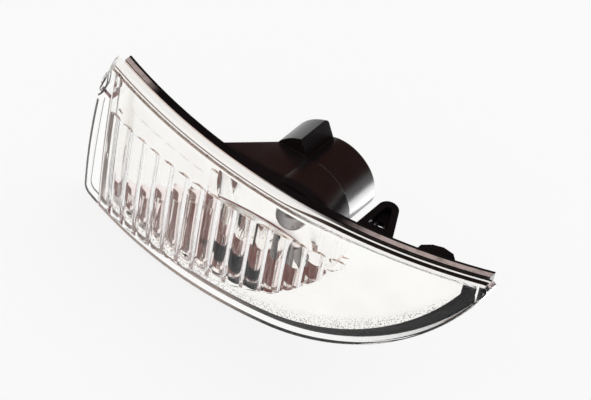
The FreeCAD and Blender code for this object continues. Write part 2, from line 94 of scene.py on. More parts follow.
class Ray(Enum):
    """Kinds of light rays that the studio tells apart."""

    CAMERA = "Is Camera Ray"
    GLOSSY = "Is Glossy Ray"
    TRANSMISSION = "Is Transmission Ray"


class NodeGraph:
    """Short way to add and join the nodes of one tree."""

    def __init__(self, tree: bpy.types.NodeTree) -> None:
        """Take over the tree of a material, a world or a modifier."""
        self.tree = tree

    def add(self, kind: str, **settings: object) -> Node:
        """Add a node.

        Args:
            kind: Blender's name of the node type.
            settings: Properties of the node.

        Returns:
            The new node.
        """
        node = self.tree.nodes.new(kind)
        for name, value in settings.items():
            setattr(node, name, value)
        return node

    def find(self, kind: str) -> Node:
        """Find the first node of a type that the tree came with."""
        return next(node for node in self.tree.nodes if node.type == kind)

    def join(self, source: Socket, target: Socket) -> None:
        """Link an output to an input, in place of an earlier link."""
        self.tree.links.new(source, target)

    def feed(self, target: Socket, value: object) -> None:
        """Set an input to a value, or link it where the value is a socket.

        Args:
            target: Input to set.
            value: Number, vector, colour or socket.
        """
        if isinstance(value, Socket):
            self.join(value, target)
        else:
            target.default_value = value

    def math(self, operation: str, first: object, second: object = 0.0) -> Socket:
        """Add a calculation.

        Args:
            operation: Blender's name of the operation.
            first: First number or socket.
            second: Second number or socket.

        Returns:
            Socket of the result.
        """
        node = self.add("ShaderNodeMath", operation=operation)
        self.feed(node.inputs[0], first)
        self.feed(node.inputs[1], second)
        return node.outputs[0]

    def product(self, *factors: object) -> Socket:
        """Multiply two or more numbers or sockets."""
        return reduce(lambda first, second: self.math("MULTIPLY", first, second), factors)

    def total(self, *terms: object) -> Socket:
        """Add up two or more numbers or sockets."""
        return reduce(lambda first, second: self.math("ADD", first, second), terms)

    def largest(self, *values: object) -> Socket:
        """Largest of two or more numbers or sockets."""
        return reduce(lambda first, second: self.math("MAXIMUM", first, second), values)

    def span(self, across: Socket, along: Socket) -> Socket:
        """Length of a line that goes so far across and so far along."""
        return self.math("SQRT", self.total(self.product(across, across), self.product(along, along)))

    def between(self, value: Socket, limits: Pair) -> Socket:
        """Give 1 where a value lies between two limits, and 0 elsewhere."""
        low, high = limits
        return self.product(self.math("GREATER_THAN", value, low), self.math("LESS_THAN", value, high))

    def ramp(self, value: Socket, low: float, high: float, to_low: float = 0.0,
             to_high: float = 1.0) -> Socket:
        """Map a number smoothly from one range to another.

        Args:
            value: Socket to map.
            low: Value that gives to_low.
            high: Value that gives to_high.
            to_low: Result at the low end.
            to_high: Result at the high end.

        Returns:
            Socket of the result, held between the two ends.
        """
        node = self.add("ShaderNodeMapRange", interpolation_type="SMOOTHSTEP", clamp=True)
        for target, item in zip(node.inputs, (value, low, high, to_low, to_high)):
            self.feed(target, item)
        return node.outputs[0]

    def fall(self, value: Socket, low: float, high: float) -> Socket:
        """Go smoothly from 1 at the low end to 0 at the high end."""
        return self.ramp(value, low, high, 1.0, 0.0)

    def split(self, vector: Socket) -> dict[str, Socket]:
        """Split a vector.

        Args:
            vector: Socket of the vector.

        Returns:
            Sockets of its parts by their names X, Y and Z.
        """
        node = self.add("ShaderNodeSeparateXYZ")
        self.join(vector, node.inputs[0])
        return {socket.name: socket for socket in node.outputs}

    def vector(self, x: object, y: object, z: object) -> Socket:
        """Join three parts to a vector.

        Args:
            x: Number or socket along X.
            y: Number or socket along Y.
            z: Number or socket along Z.

        Returns:
            Socket of the vector.
        """
        node = self.add("ShaderNodeCombineXYZ")
        for target, item in zip(node.inputs, (x, y, z)):
            self.feed(target, item)
        return node.outputs[0]

    def vector_math(self, operation: str, first: Socket, second: object = (0.0, 0.0, 0.0)) -> Socket:
        """Add a calculation with vectors.

        Args:
            operation: Blender's name of the operation.
            first: First vector.
            second: Second vector or socket.

        Returns:
            Socket of the result, a number for DISTANCE and LENGTH and else a vector.
        """
        node = self.add("ShaderNodeVectorMath", operation=operation)
        self.feed(node.inputs[0], first)
        self.feed(node.inputs[1], second)
        return node.outputs["Value" if operation in ("DISTANCE", "LENGTH") else "Vector"]

    def mix(self, factor: object, first: object, second: object) -> Socket:
        """Mix two colours.

        Args:
            factor: Share of the second colour.
            first: First colour or socket.
            second: Second colour or socket.

        Returns:
            Socket of the mixed colour.
        """
        node = self.add("ShaderNodeMix", data_type="RGBA")
        self.feed(node.inputs["Factor"], factor)
        for name, item in (("A", first), ("B", second)):
            target = next(s for s in node.inputs if s.name == name and s.type == "RGBA")
            self.feed(target, (*item, 1.0) if isinstance(item, tuple) else item)
        return next(s for s in node.outputs if s.type == "RGBA")

    def noise(self, place: Socket, grain: float, detail: float = 2.0) -> Socket:
        """Add a noise pattern.

        Args:
            place: Coordinates in metres.
            grain: Size of the pattern in metres.
            detail: Number of finer layers.

        Returns:
            Socket of the pattern, about 0.5 on average.
        """
        node = self.add("ShaderNodeTexNoise")
        self.join(place, node.inputs["Vector"])
        node.inputs["Scale"].default_value = 1.0 / grain
        node.inputs["Detail"].default_value = detail
        return node.outputs[0]

    def bump(self, height: Socket, depth: float, strength: object, normal: Socket | None = None) -> Socket:
        """Add a relief.

        Args:
            height: Pattern from 0 to 1.
            depth: Depth of the relief in metres.
            strength: Share of the relief.
            normal: Normal that the relief is laid on.

        Returns:
            Socket of the new normal.
        """
        node = self.add("ShaderNodeBump")
        self.join(height, node.inputs["Height"])
        self.feed(node.inputs["Strength"], strength)
        node.inputs["Distance"].default_value = depth
        if normal is not None:
            self.join(normal, node.inputs["Normal"])
        return node.outputs[0]


class Surface(NodeGraph):
    """Tree of a material, with the place and the facing of the surface at hand."""

    @cached_property
    def place(self) -> Socket:
        """Object coordinates in metres."""
        return self.add("ShaderNodeTexCoord").outputs["Object"]

    @cached_property
    def at(self) -> dict[str, Socket]:
        """Object coordinates as X, Y and Z."""
        return self.split(self.place)

    @cached_property
    def normal(self) -> Socket:
        """Direction that the surface faces."""
        return self.add("ShaderNodeNewGeometry").outputs["Normal"]

    @cached_property
    def facing(self) -> dict[str, Socket]:
        """Direction that the surface faces as X, Y and Z."""
        return self.split(self.normal)

    @cached_property
    def radius(self) -> Socket:
        """Distance from the upright axis that the lamp is curved about."""
        level = self.vector_math("MULTIPLY", self.place, (1.0, 1.0, 0.0))
        return self.vector_math("DISTANCE", level, (PLAN_X, PLAN_Y, 0.0))


@dataclass(frozen=True)
class Finish:
    """A procedural finish; subclasses add their nodes in dress.

    Patches and wear hold a size in metres and how far the colour or the roughness goes up and down.
    """

    name: str
    slot: Slot
    colour: Colour
    roughness: float
    patches: Pair = (9 * MM, 0.15)
    wear: Pair = (4 * MM, 0.015)

    def build(self) -> bpy.types.Material:
        """Make the material with the finish's nodes.

        Returns:
            The new material.
        """
        material = bpy.data.materials.new(self.name)
        material.use_nodes = True
        surface = Surface(material.node_tree)
        self.dress(surface, surface.find("BSDF_PRINCIPLED"))
        return material

    def get(self) -> bpy.types.Material:
        """Give the material, made at the first call."""
        return bpy.data.materials.get(self.name) or self.build()

    def dress(self, surface: Surface, shader: Node) -> None:
        """Add the finish's nodes.

        Args:
            surface: Tree of the material.
            shader: Its shader node.
        """
        raise NotImplementedError

    def mottle(self, surface: Surface) -> Socket:
        """Vary the finish's colour over the surface in patches.

        Args:
            surface: Tree of the material.

        Returns:
            Socket of the colour.
        """
        grain, spread = self.patches
        dark = tuple(c * (1.0 - spread) for c in self.colour)
        light = tuple(min(1.0, c * (1.0 + spread)) for c in self.colour)
        share = surface.ramp(surface.noise(surface.place, grain, 3.0), 0.3, 0.7)
        return surface.mix(share, dark, light)

    def rough(self, surface: Surface) -> Socket:
        """Vary the finish's roughness over the surface by its wear.

        Args:
            surface: Tree of the material.

        Returns:
            Socket of the roughness.
        """
        grain, spread = self.wear
        pattern = surface.noise(surface.place, grain, 3.0)
        return surface.ramp(pattern, 0.3, 0.7, self.roughness - spread, self.roughness + spread)


@dataclass(frozen=True)
class MouldedPlastic(Finish):
    """Satin moulded plastic with a fine grain and softened edges."""

    refraction: float = 1.45
    edge_round: float = 0.35 * MM
    grain: float = 0.35 * MM
    grain_depth: float = 0.02 * MM
    grain_share: float = 0.5

    def dress(self, surface: Surface, shader: Node) -> None:
        """Add the mottled colour, the grain and the rounded edges.

        Args:
            surface: Tree of the material.
            shader: Its shader node.
        """
        surface.join(self.mottle(surface), shader.inputs["Base Color"])
        surface.join(self.rough(surface), shader.inputs["Roughness"])
        edge = surface.add("ShaderNodeBevel", samples=6)
        edge.inputs["Radius"].default_value = self.edge_round
        grain = surface.noise(surface.place, self.grain)
        relief = surface.bump(grain, self.grain_depth, self.grain_share, edge.outputs[0])
        surface.join(relief, shader.inputs["Normal"])
        shader.inputs["IOR"].default_value = self.refraction


@dataclass(frozen=True)
class HousingPlastic(MouldedPlastic):
    """Plastic of the housing: a painted reflection on the flange top, overspray from the reflector and some
    matt faces.
    """

    gloss: float = 0.5
    matt_gloss: float = 0.02
    back_matt: float = 0.7
    neck_radius: float = 12.5 * MM
    flange_radii: Pair = (184 * MM, 187 * MM)
    lug_left: float = 17 * MM
    lug_floor: float = 8 * MM
    bright_right: Pair = (-16 * MM, 2 * MM)
    bright_top: Pair = (9.0 * MM, 9.5 * MM)
    # painted reflection: where the pale tan sheen of the overhead light lies on the flange top, and its
    # colour
    reflection_left: Pair = (-62 * MM, -53 * MM)
    reflection_right: Pair = (16 * MM, 32 * MM)
    reflection_radius: float = 189.1 * MM
    reflection_patch_size: float = 3 * MM
    flange_reflection_colour: Colour = (0.44, 0.35, 0.33)

    def dress(self, surface: Surface, shader: Node) -> None:
        """Add the painted reflection on the flange top, the overspray and the matt faces to the plain
        plastic.

        Args:
            surface: Tree of the material.
            shader: Its shader node.
        """
        super().dress(surface, shader)
        plain = shader.inputs["Base Color"].links[0].from_socket
        # painted reflection on the flange top, mixed into the plain colour
        reflected = surface.mix(self.flange_reflection_share(surface), plain, self.flange_reflection_colour)
        bright = self.bright_share(surface)
        surface.join(surface.mix(bright, reflected, BRIGHT_COATING.colour), shader.inputs["Base Color"])
        surface.join(bright, shader.inputs["Metallic"])
        matt = surface.ramp(self.matt_share(surface), 0.0, 1.0, self.gloss, self.matt_gloss)
        surface.join(matt, shader.inputs["Specular IOR Level"])

    def matt_share(self, surface: Surface) -> Socket:
        """Share of the matt faces: the flange's front and edge, the lug, the key's right side and the back.

        Args:
            surface: Tree of the material.

        Returns:
            Socket of the share, from 0 to 1.
        """
        at, facing = surface.at, surface.facing
        raised = surface.ramp(surface.span(at["X"], at["Z"]), self.neck_radius, self.neck_radius + 0.3 * MM)
        side = surface.product(raised, surface.ramp(facing["X"], 0.6, 0.8))
        ahead = surface.fall(facing["Y"], 0.3, 0.5)
        flange = surface.product(surface.ramp(surface.radius, *self.flange_radii), ahead)
        lug = surface.product(surface.ramp(at["X"], self.lug_left, self.lug_left + 1 * MM),
                              surface.ramp(at["Z"], self.lug_floor, self.lug_floor + 0.2 * MM))
        back = surface.ramp(facing["Y"], 0.7, 0.9, 0.0, self.back_matt)
        return surface.largest(lug, flange, side, back)

    def bright_share(self, surface: Surface) -> Socket:
        """Share of the bright overspray on the front of the flange's left end.

        Args:
            surface: Tree of the material.

        Returns:
            Socket of the share, from 0 to 1.
        """
        front = surface.fall(surface.facing["Y"], -0.8, -0.6)
        left = surface.fall(surface.at["X"], *self.bright_right)
        low = surface.fall(surface.at["Z"], *self.bright_top)
        return surface.product(front, left, low)

    def flange_reflection_share(self, surface: Surface) -> Socket:
        """Share of the painted reflection: a pale tan sheen of the overhead light, painted on both ends of
        the flange's flat top.

        Args:
            surface: Tree of the material.

        Returns:
            Socket of the share, from 0 to 1.
        """
        flat = surface.ramp(surface.facing["Z"], 0.9, 0.98)
        high = surface.ramp(surface.at["Z"], TOP_Z - 0.3 * MM, TOP_Z - 0.1 * MM)
        along = surface.largest(surface.fall(surface.at["X"], *self.reflection_left),
                                surface.ramp(surface.at["X"], *self.reflection_right))
        ahead = surface.ramp(surface.radius, self.reflection_radius - 0.1 * MM, self.reflection_radius + 0.1 * MM)
        streak = surface.ramp(surface.noise(surface.place, self.reflection_patch_size, 4.0), 0.25, 0.6, 0.55, 1.0)
        return surface.product(flat, high, along, ahead, streak)


@dataclass(frozen=True)
class ClearPlastic(Finish):
    """Clear polished plastic with a whitened top face that is a painted highlight, dark lines with a
    painted dark edge among them, and tan flute tops.
    """

    patches: Pair = (20 * MM, 0.01)
    wear: Pair = (6 * MM, 0.01)
    refraction: float = 1.46
    wave_size: float = 5 * MM
    wave_depth: float = 0.03 * MM
    wave_share: float = 0.06
    dark: Colour = (0.002, 0.0014, 0.0012)
    end_radius: float = 191.6 * MM
    end_left: float = -70.0 * MM
    end_top: float = -9.0 * MM
    flute_radii: Pair = (193.1 * MM, 194.2 * MM)
    flute_heights: Pair = (-9.0 * MM, 1.0 * MM)
    flute_colour: Colour = (0.3, 0.18, 0.13)
    ear_middle: Pair = (-87.9 * MM, 5.55 * MM)
    ear_radius: float = 14.7 * MM
    ear_step: float = 1.6 * MM
    ear_low: float = -7.0 * MM
    # painted highlight: the top face lets little light through and turns near-white
    top_clear: float = 0.08
    top_highlight_colour: Colour = (1.0, 0.985, 0.96)
    line_radii: Pair = (194.9 * MM, 193.6 * MM)
    line_halves: Pair = (0.2 * MM, 0.75 * MM)
    line_range: Pair = (-5.0 * MM, 22.0 * MM)
    line_colours: tuple[Colour, Colour] = ((0.2, 0.13, 0.1), (0.012, 0.009, 0.008))
    edge_height: float = 1.2 * MM
    rear_line: float = 192.3 * MM

    def dress(self, surface: Surface, shader: Node) -> None:
        """Add the clear body with slight flow waves, and the marks on it, among them a painted highlight
        and painted shade.

        Args:
            surface: Tree of the material.
            shader: Its shader node.
        """
        top = self.top_highlight_share(surface)
        right = surface.ramp(surface.at["X"], *self.line_range)
        lines = surface.mix(right, *self.line_colours)
        colour = self.mottle(surface)
        for share, tint in ((self.flute_share(surface), self.flute_colour),
                            # painted shade: dark line at the lens' left end
                            (self.painted_edge_shade_share(surface), self.dark),
                            (self.ear_share(surface), self.dark),
                            (top, self.top_highlight_colour),
                            (self.line_share(surface, top, right), lines)):
            colour = surface.mix(share, colour, tint)
        surface.join(colour, shader.inputs["Base Color"])
        surface.join(self.rough(surface), shader.inputs["Roughness"])
        # painted highlight: the top face is made nearly opaque
        surface.join(surface.ramp(top, 0.0, 1.0, 1.0, self.top_clear), shader.inputs["Transmission Weight"])
        waves = surface.noise(surface.place, self.wave_size, 1.0)
        surface.join(surface.bump(waves, self.wave_depth, self.wave_share), shader.inputs["Normal"])
        shader.inputs["Specular Tint"].default_value = (0.0, 0.0, 0.0, 1.0)
        shader.inputs["IOR"].default_value = self.refraction

    def flute_share(self, surface: Surface) -> Socket:
        """Share of the tan tint on the upper end faces of the flutes.

        Args:
            surface: Tree of the material.

        Returns:
            Socket of the share, from 0 to 1.
        """
        level = surface.ramp(surface.facing["Z"], 0.3, 0.4)
        within = surface.between(surface.radius, self.flute_radii)
        return surface.product(level, within, surface.between(surface.at["Z"], self.flute_heights))

    def painted_edge_shade_share(self, surface: Surface) -> Socket:
        """Share of the painted dark line along the rear edge of the lens' left end, below the ear: painted
        shade for the dark edge that refraction gives the clear end.

        Args:
            surface: Tree of the material.

        Returns:
            Socket of the share, from 0 to 1.
        """
        rear = surface.fall(surface.radius, self.end_radius + 0.1 * MM, self.end_radius + 0.3 * MM)
        left = surface.fall(surface.at["X"], self.end_left - 1 * MM, self.end_left)
        low = surface.fall(surface.at["Z"], self.end_top - 1 * MM, self.end_top)
        return surface.product(rear, left, low)

    def ear_share(self, surface: Surface) -> Socket:
        """Share of the two dark arcs in the ear.

        Args:
            surface: Tree of the material.

        Returns:
            Socket of the share, from 0 to 1.
        """
        aside = surface.math("SUBTRACT", surface.at["X"], self.ear_middle[0])
        above = surface.math("SUBTRACT", surface.at["Z"], self.ear_middle[1])
        beyond = surface.math("SUBTRACT", surface.span(aside, above), self.ear_radius)
        step = surface.math("FRACT", surface.math("DIVIDE", beyond, self.ear_step))
        ring = surface.fall(step, 0.3, 0.4)
        within = surface.between(beyond, (0.0, self.ear_step * 2))
        high = surface.ramp(surface.at["Z"], self.ear_low, self.ear_low + 1 * MM)
        left = surface.math("LESS_THAN", surface.at["X"], self.end_left)
        return surface.product(ring, within, high, left)

    def top_highlight_share(self, surface: Surface) -> Socket:
        """Share of the whitened top face, a painted highlight standing in for the light on the clear top.

        Args:
            surface: Tree of the material.

        Returns:
            Socket of the share, from 0 to 1.
        """
        flat = surface.ramp(surface.facing["Z"], 0.8, 0.95)
        return surface.product(flat, surface.ramp(surface.at["Z"], TOP_Z - 1 * MM, TOP_Z - 0.5 * MM))

    def line_share(self, surface: Surface, top: Socket, right: Socket) -> Socket:
        """Share of the dark lines on the front's upper edge, along the top face and at its rear.

        Args:
            surface: Tree of the material.
            top: Share of the top face.
            right: Share that grows to 1 towards the tip.

        Returns:
            Socket of the share, from 0 to 1.
        """
        front = surface.fall(surface.facing["Y"], -0.7, -0.5)
        low = TOP_Z - self.edge_height
        upper = surface.ramp(surface.at["Z"], low, low + 0.2 * MM)
        edge = surface.product(front, upper, surface.fall(right, 0.3, 1.0))
        line = surface.ramp(right, 0.0, 1.0, *self.line_radii)
        away = surface.math("ABSOLUTE", surface.math("SUBTRACT", surface.radius, line))
        past = surface.math("SUBTRACT", away, surface.ramp(right, 0.0, 1.0, *self.line_halves))
        near = surface.fall(past, -0.08 * MM, 0.08 * MM)
        rear = surface.fall(surface.radius, self.rear_line - 0.1 * MM, self.rear_line + 0.1 * MM)
        above = surface.product(surface.largest(near, surface.product(rear, right)), top)
        return surface.largest(edge, above)


@dataclass(frozen=True)
class BrightMetal(Finish):
    """Bright vapour-coated metal: a stippled lower edge, and a tray whose lower side looks up."""

    patches: Pair = (14 * MM, 0.02)
    wear: Pair = (5 * MM, 0.02)
    tray_front: float = 191.5 * MM
    tray_lean: float = 1.5
    tray_slope: float = 0.84
    tray_level: float = 14.0 * MM
    tray_top: float = -3.0 * MM
    cut_front: float = 21 * MM
    cut_slope: float = 0.83
    ragged: float = 6 * MM
    ragged_size: float = 4 * MM
    streak_size: float = 1.4 * MM
    streak_stretch: Place = (1.0, 0.3, 0.06)
    haze: float = 0.15
    haze_lean: float = 0.3
    haze_right: float = -27.0 * MM
    # painted reflection: place, shape, size and colour of the dark patch by the bulb
    dark_reflection_spot: Place = (-14.0 * MM, -14.0 * MM, -31.0 * MM)
    dark_reflection_shape: Place = (2.4, 4.0, 1.0)
    dark_reflection_size: float = 5.0 * MM
    dark_reflection_colour: Colour = (0.012, 0.010, 0.012)
    edge_curve: tuple[float, float, float, float] = (59.5, 5.41, 0.246, -41.4 * MM)
    stipple_width: float = 7.0 * MM
    stipple_pitch: float = 0.6 * MM
    stipple_depth: float = 0.02 * MM
    stipple_colour: Colour = (0.22, 0.19, 0.18)

    def dress(self, surface: Surface, shader: Node) -> None:
        """Add the coating, its stipple, a painted dark reflection by the bulb, its slight cloudiness and
        the lean of the tray.

        Args:
            surface: Tree of the material.
            shader: Its shader node.
        """
        inside = surface.fall(surface.radius, self.tray_front - 0.2 * MM, self.tray_front)
        zone = surface.product(inside, self.lean_share(surface))
        left = surface.fall(surface.at["X"], self.haze_right - 4 * MM, self.haze_right)
        hazy = surface.product(surface.math("SUBTRACT", inside, zone), left)
        pits = surface.add("ShaderNodeTexVoronoi")
        surface.join(surface.place, pits.inputs["Vector"])
        pits.inputs["Scale"].default_value = 1.0 / self.stipple_pitch
        stipple = surface.fall(pits.outputs["Distance"], 0.2, 0.45)
        share = surface.product(self.stipple_share(surface), surface.math("SUBTRACT", 1.0, inside))
        colour = surface.mix(surface.product(share, stipple), self.mottle(surface), self.stipple_colour)
        # painted reflection: dark patch by the bulb
        colour = surface.mix(self.dark_reflection_share(surface), colour, self.dark_reflection_colour)
        surface.join(colour, shader.inputs["Base Color"])
        rough = surface.total(self.rough(surface), surface.product(hazy, self.haze))
        surface.join(rough, shader.inputs["Roughness"])
        leaning = self.leaning_normal(surface, zone, hazy)
        surface.join(surface.bump(stipple, self.stipple_depth, share, leaning), shader.inputs["Normal"])
        shader.inputs["Metallic"].default_value = 1.0

    def lean_share(self, surface: Surface) -> Socket:
        """Share of the tray's lower right part, under a cut that slants back, with a ragged edge.

        Args:
            surface: Tree of the material.

        Returns:
            Socket of the share, from 0 to 1.
        """
        at = surface.at
        above = surface.math("SUBTRACT", at["Z"], surface.product(at["X"], self.tray_slope))
        ragged = surface.product(surface.noise(surface.place, self.ragged_size, 3.0), self.ragged)
        low = surface.fall(surface.total(above, ragged), self.tray_level, self.tray_level + self.ragged)
        depth = surface.product(surface.total(at["Y"], self.cut_front), self.cut_slope)
        under = surface.fall(surface.total(at["Z"], depth), self.tray_top - 2 * MM, self.tray_top)
        return surface.product(under, low)

    def leaning_normal(self, surface: Surface, zone: Socket, hazy: Socket) -> Socket:
        """Normal that leans upwards, in streaks over the lower part of the tray and a little over the haze.

        Args:
            surface: Tree of the material.
            zone: Share that is 1 where the normal leans most.
            hazy: Share that is 1 in the hazy part.

        Returns:
            Socket of the normal.
        """
        drawn = surface.vector_math("MULTIPLY", surface.place, self.streak_stretch)
        streak = surface.ramp(surface.noise(drawn, self.streak_size), 0.24, 0.36, 0.3, 1.0)
        lean = surface.total(surface.product(zone, streak, self.tray_lean),
                             surface.product(hazy, self.haze_lean))
        leaning = surface.vector_math("ADD", surface.normal, surface.vector(0.0, 0.0, lean))
        return surface.vector_math("NORMALIZE", leaning)

    def dark_reflection_share(self, surface: Surface) -> Socket:
        """Share of the painted dark reflection by the bulb, where the dark bulb hole is mirrored in the
        bowl.

        Args:
            surface: Tree of the material.

        Returns:
            Socket of the share, from 0 to 1.
        """
        away = surface.vector_math("SUBTRACT", surface.place, self.dark_reflection_spot)
        distance = surface.vector_math("LENGTH", surface.vector_math("DIVIDE", away, self.dark_reflection_shape))
        return surface.fall(distance, self.dark_reflection_size * 0.8, self.dark_reflection_size)

    def stipple_share(self, surface: Surface) -> Socket:
        """Share of the stipple, which fades out upwards from the curved lower edge of the leaf.

        Args:
            surface: Tree of the material.

        Returns:
            Socket of the share, from 0 to 1.
        """
        edge, *lower = self.edge_curve
        for factor in lower:
            edge = surface.total(surface.product(surface.at["X"], edge), factor)
        above = surface.math("SUBTRACT", surface.at["Z"], edge)
        return surface.fall(above, 1.0 * MM, self.stipple_width)


@dataclass(frozen=True)
class SoftSeal(Finish):
    """Matt sealing compound or rubber with small pits; a bead may turn pale towards -X, painted light that
    brightens its shaded left end.
    """

    patches: Pair = (3 * MM, 0.3)
    wear: Pair = (2 * MM, 0.06)
    # painted light: the pale colour brightens the shaded left end of a bead
    pale: Colour | None = None
    painted_light_right: Pair = (-20 * MM, 5 * MM)
    pit_size: float = 0.6 * MM
    pit_depth: float = 0.06 * MM
    pit_share: float = 0.6

    def dress(self, surface: Surface, shader: Node) -> None:
        """Add the mottled colour and the pits.

        Args:
            surface: Tree of the material.
            shader: Its shader node.
        """
        colour = self.mottle(surface)
        # painted light: pale towards -X on the shaded end of the bead
        if self.pale is not None:
            colour = surface.mix(surface.fall(surface.at["X"], *self.painted_light_right), colour, self.pale)
        surface.join(colour, shader.inputs["Base Color"])
        surface.join(self.rough(surface), shader.inputs["Roughness"])
        pits = surface.noise(surface.place, self.pit_size, 3.0)
        surface.join(surface.bump(pits, self.pit_depth, self.pit_share), shader.inputs["Normal"])


@dataclass(frozen=True)
class StampedMetal(Finish):
    """Drawn or stamped metal with fine lines along the neck."""

    patches: Pair = (2 * MM, 0.15)
    wear: Pair = (1 * MM, 0.06)
    line_size: float = 0.15 * MM
    line_stretch: Place = (1.0, 0.05, 1.0)
    line_depth: float = 0.02 * MM
    line_share: float = 0.5

    def dress(self, surface: Surface, shader: Node) -> None:
        """Add the lines and a slight tarnish.

        Args:
            surface: Tree of the material.
            shader: Its shader node.
        """
        surface.join(self.mottle(surface), shader.inputs["Base Color"])
        surface.join(self.rough(surface), shader.inputs["Roughness"])
        drawn = surface.vector_math("MULTIPLY", surface.place, self.line_stretch)
        lines = surface.noise(drawn, self.line_size)
        surface.join(surface.bump(lines, self.line_depth, self.line_share), shader.inputs["Normal"])
        shader.inputs["Metallic"].default_value = 1.0


@dataclass(frozen=True)
class SilveredGlass(Finish):
    """Glass with a smoky silver coating, with painted shade that makes it darker towards -X."""

    patches: Pair = (4 * MM, 0.12)
    wear: Pair = (3 * MM, 0.04)
    dark: Colour = (0.03, 0.028, 0.03)
    painted_shade_right: Pair = (-5 * MM, 4 * MM)
    glass_weight: float = 0.5
    glass_roughness: float = 0.03

    def dress(self, surface: Surface, shader: Node) -> None:
        """Add the coating, a little clouded and darker on one side by painted shade, under clear glass.

        Args:
            surface: Tree of the material.
            shader: Its shader node.
        """
        # painted shade: the coating darkens towards -X
        share = surface.fall(surface.at["X"], *self.painted_shade_right)
        surface.join(surface.mix(share, self.mottle(surface), self.dark), shader.inputs["Base Color"])
        surface.join(self.rough(surface), shader.inputs["Roughness"])
        shader.inputs["Metallic"].default_value = 1.0
        shader.inputs["Coat Weight"].default_value = self.glass_weight
        shader.inputs["Coat Roughness"].default_value = self.glass_roughness


BLACK_HOUSING = HousingPlastic("black_housing_plastic", Slot.BLACK_PLASTIC, (0.007, 0.0052, 0.0055), 0.26,
                               refraction=1.7)
HOLDER_BODY = MouldedPlastic("bulb_holder_plastic", Slot.HOLDER_PLASTIC, (0.020, 0.020, 0.022), 0.5)
CLEAR_LENS = ClearPlastic("clear_lens_plastic", Slot.CLEAR_LENS, (0.997, 0.991, 0.984), 0.01)
BRIGHT_COATING = BrightMetal("bright_reflector_coating", Slot.BRIGHT_COATING, (0.99, 0.978, 0.962), 0.04)
# the seam's pale colour is painted light on the shaded left end of its bead
SEAM_SEALANT = SoftSeal("seam_sealant", Slot.SEALANT, (0.018, 0.016, 0.016), 0.55, pale=(0.85, 0.70, 0.62))
RING_RUBBER = SoftSeal("holder_ring_rubber", Slot.SEAL_RUBBER, (0.11, 0.03, 0.02), 0.6)
BULB_SILVER = SilveredGlass("silvered_bulb_glass", Slot.SILVERED_GLASS, (0.34, 0.32, 0.32), 0.16)
LEAD_WIRE = StampedMetal("bulb_lead_wire", Slot.LEAD_WIRE, (0.62, 0.60, 0.56), 0.3)
CONTACT_BRASS = StampedMetal("contact_strip_brass", Slot.CONTACT_BRASS, (0.72, 0.52, 0.22), 0.28)


def dress_node(node: str, finish: Finish) -> None:
    """Give a solid of the frame its finish.

    Args:
        node: Name of the node.
        finish: Finish for all its faces.
    """
    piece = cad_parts[node]
    material = finish.get()
    if not piece.material_slots:
        piece.data.materials.append(material)
    for slot in piece.material_slots:
        slot.material = material
    LOG.info("dressed %s with %s", node, finish.name)


def bedded_copy(node: str, finish: Finish, growth: float) -> bpy.types.Object:
    """Copy a curved solid and move it forwards, so that it beds into the clear piece in front of it.

    Args:
        node: Name of the solid, which the copy replaces.
        finish: Finish of the copy.
        growth: Distance to move away from the axis of the curve.

    Returns:
        The copy.
    """
    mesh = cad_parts[node].data.copy()
    piece = bpy.data.objects.new(f"bedded_{node}", mesh)
    bpy.context.collection.objects.link(piece)
    shape = bmesh.new()
    shape.from_mesh(mesh)
    bmesh.ops.remove_doubles(shape, verts=shape.verts, dist=MERGE_DISTANCE)
    axis = Vector((PLAN_X, PLAN_Y, 0.0))
    for vertex in shape.verts:
        away = vertex.co - axis
        away.z = 0.0
        vertex.co += away.normalized() * growth
    shape.to_mesh(mesh)
    shape.free()
    mesh.shade_smooth()
    mesh.set_sharp_from_angle(angle=SHARP_ANGLE)
    mesh.materials.clear()
    mesh.materials.append(finish.get())
    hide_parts(node)
    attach(piece, Body.ROOT.value)
    LOG.info("%s replaces %s", piece.name, node)
    return piece


